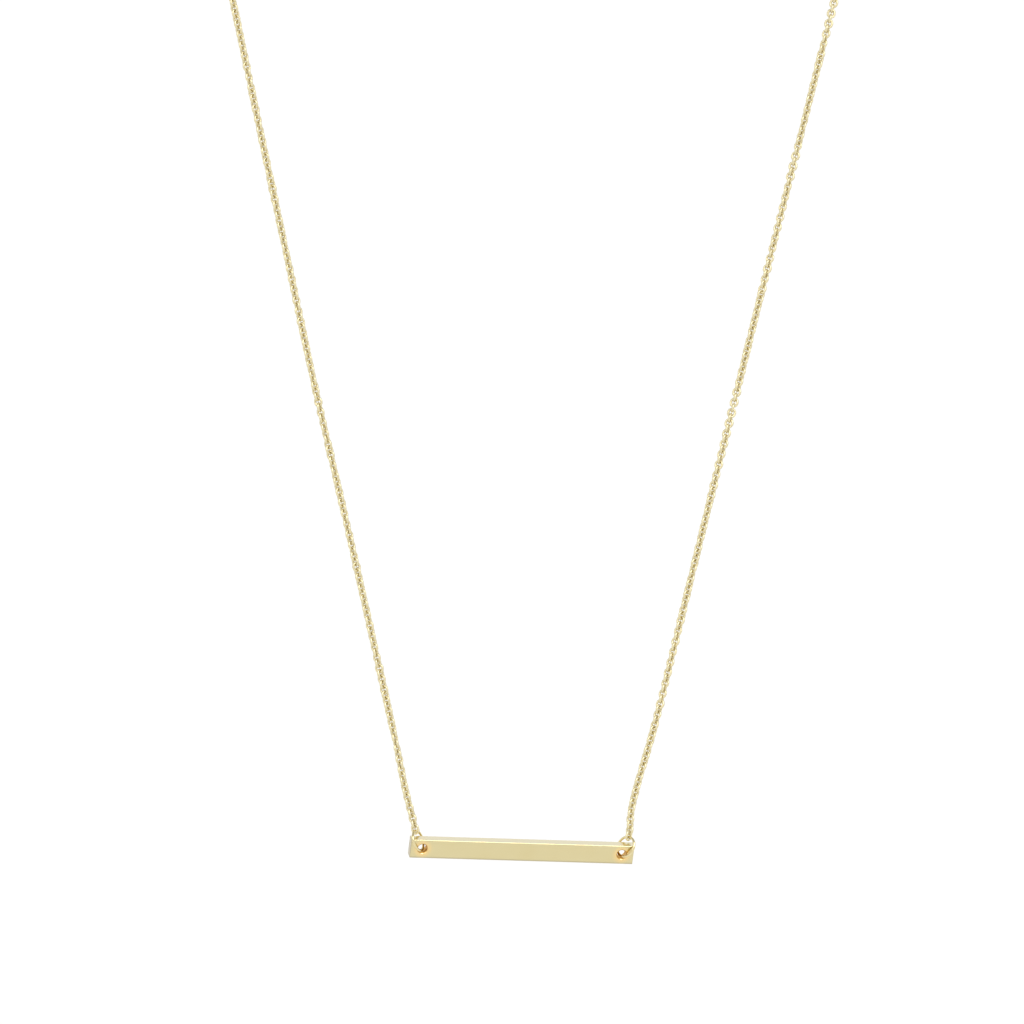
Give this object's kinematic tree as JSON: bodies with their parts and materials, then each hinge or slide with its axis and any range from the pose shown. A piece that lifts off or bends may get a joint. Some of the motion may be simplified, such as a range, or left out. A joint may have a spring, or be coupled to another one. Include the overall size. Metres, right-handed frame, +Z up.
{
  "type": "bar pendant necklace",
  "caption": "Fine cable-chain necklace whose pendant is a plain level bar hung from a jump ring at each end.",
  "frame": {"origin": "middle of the neck opening, level with the widest part of the loop, where the necklace sits round a neck", "axes": "+Z up, -Y towards the viewer of the bar's front face, +X along the bar; the chain's plane leans back 30 degrees"},
  "size_m": [0.095, 0.0944, 0.1628],
  "materials": {
    "bar_gold": "polished pale yellow gold",
    "ring_gold": "drawn and polished gold wire",
    "chain_gold": "tumbled gold links",
    "clasp_gold": "polished gold"
  },
  "bodies": {
    "necklace": {"end_link_left": "chain_gold", "end_link_right": "chain_gold", "chain_left": "chain_gold", "chain_right": "chain_gold", "top_link_left": "chain_gold", "top_link_right": "chain_gold", "clasp": "clasp_gold", "tag_ring": "ring_gold"},
    "pendant": {"bar": "bar_gold", "jump_ring_left": "ring_gold", "jump_ring_right": "ring_gold"}
  },
  "joints": [
    {"name": "pendant_swing", "type": "hinge", "parent": "necklace", "child": "pendant", "pos_m": [0, -0.06987, -0.12102], "axis": [1, 0, 0], "range_deg": [-30, 30]}
  ]
}
